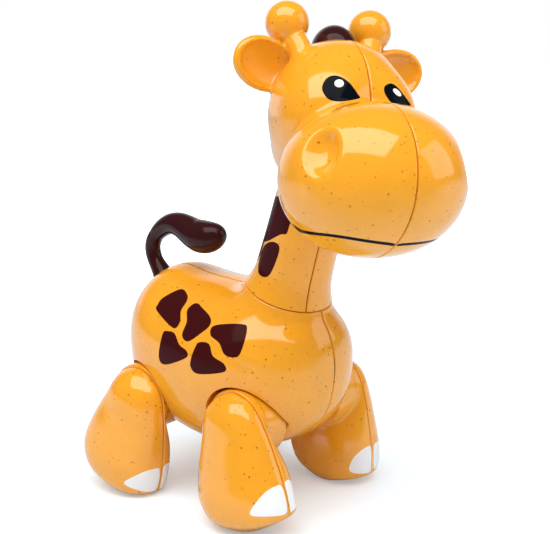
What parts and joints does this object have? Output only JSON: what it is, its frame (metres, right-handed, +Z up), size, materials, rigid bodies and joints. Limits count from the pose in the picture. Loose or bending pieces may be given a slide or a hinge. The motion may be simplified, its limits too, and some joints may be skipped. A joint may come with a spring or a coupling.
{
  "type": "jointed toy giraffe",
  "caption": "Toy giraffe of hollow moulded plastic halves; neck, head and legs turn and click on toothed wheels, the hooked tail turns on its stem.",
  "frame": {"origin": "bottom centre of the bounding box, on the surface the feet stand on", "axes": "+X towards the chest, +Y to the animal's left, +Z up"},
  "size_m": [0.1228, 0.0692, 0.1437],
  "materials": {
    "orange_plastic": "glossy orange plastic with fine brown flecks",
    "brown_plastic": "glossy dark brown plastic",
    "wheel_plastic": "natural white bearing plastic",
    "spring_plastic": "grey spring plastic",
    "screw_steel": "plain steel"
  },
  "bodies": {
    "body": {"body_shell_left": "orange_plastic", "body_shell_right": "orange_plastic", "neck_base_click_spring": "spring_plastic", "front_right_click_spring": "spring_plastic", "front_left_click_spring": "spring_plastic", "rear_right_click_spring": "spring_plastic", "rear_left_click_spring": "spring_plastic"},
    "neck": {"neck_shell_left": "orange_plastic", "neck_shell_right": "orange_plastic", "neck_mane": "brown_plastic", "neck_base_click_wheel": "wheel_plastic", "neck_top_click_wheel": "wheel_plastic"},
    "head": {"head_shell_left": "orange_plastic", "head_shell_right": "orange_plastic", "head_tuft": "brown_plastic", "head_click_spring": "spring_plastic"},
    "front_right_leg": {"front_right_leg_outer_shell": "orange_plastic", "front_right_leg_inner_shell": "orange_plastic", "front_right_click_wheel": "wheel_plastic", "front_right_hub_screw": "screw_steel"},
    "front_left_leg": {"front_left_leg_outer_shell": "orange_plastic", "front_left_leg_inner_shell": "orange_plastic", "front_left_click_wheel": "wheel_plastic", "front_left_hub_screw": "screw_steel"},
    "rear_right_leg": {"rear_right_leg_outer_shell": "orange_plastic", "rear_right_leg_inner_shell": "orange_plastic", "rear_right_click_wheel": "wheel_plastic", "rear_right_hub_screw": "screw_steel"},
    "rear_left_leg": {"rear_left_leg_outer_shell": "orange_plastic", "rear_left_leg_inner_shell": "orange_plastic", "rear_left_click_wheel": "wheel_plastic", "rear_left_hub_screw": "screw_steel"},
    "tail": {"tail": "brown_plastic", "tail_retaining_ring": "wheel_plastic"}
  },
  "joints": [
    {"name": "neck_turn", "type": "hinge", "parent": "body", "child": "neck", "pos_m": [0.0002, 0.0011, 0.0634], "axis": [0.3256, 0, 0.9455], "continuous": true, "deforming": ["neck_base_click_spring"]},
    {"name": "head_turn", "type": "hinge", "parent": "neck", "child": "head", "pos_m": [0.01029, 0.0011, 0.09271], "axis": [0.0305, 0.1412, 0.9895], "continuous": true, "deforming": ["head_click_spring"]},
    {"name": "front_right_hip_swing", "type": "hinge", "parent": "body", "child": "front_right_leg", "pos_m": [-0.002, 0.0011, 0.0288], "axis": [0, -1, 0], "range_deg": [-15, 45], "deforming": ["front_right_click_spring"]},
    {"name": "front_left_hip_swing", "type": "hinge", "parent": "body", "child": "front_left_leg", "pos_m": [-0.002, 0.0011, 0.0288], "axis": [0, -1, 0], "range_deg": [0, 60], "deforming": ["front_left_click_spring"]},
    {"name": "rear_right_hip_swing", "type": "hinge", "parent": "body", "child": "rear_right_leg", "pos_m": [-0.0412, 0.0011, 0.0288], "axis": [0, -1, 0], "range_deg": [-45, 15], "deforming": ["rear_right_click_spring"]},
    {"name": "rear_left_hip_swing", "type": "hinge", "parent": "body", "child": "rear_left_leg", "pos_m": [-0.0412, 0.0011, 0.0288], "axis": [0, -1, 0], "range_deg": [-60, 0], "deforming": ["rear_left_click_spring"]},
    {"name": "tail_turn", "type": "hinge", "parent": "body", "child": "tail", "pos_m": [-0.0508, 0.0011, 0.0603], "axis": [-0.5736, 0, 0.8192], "continuous": true}
  ]
}
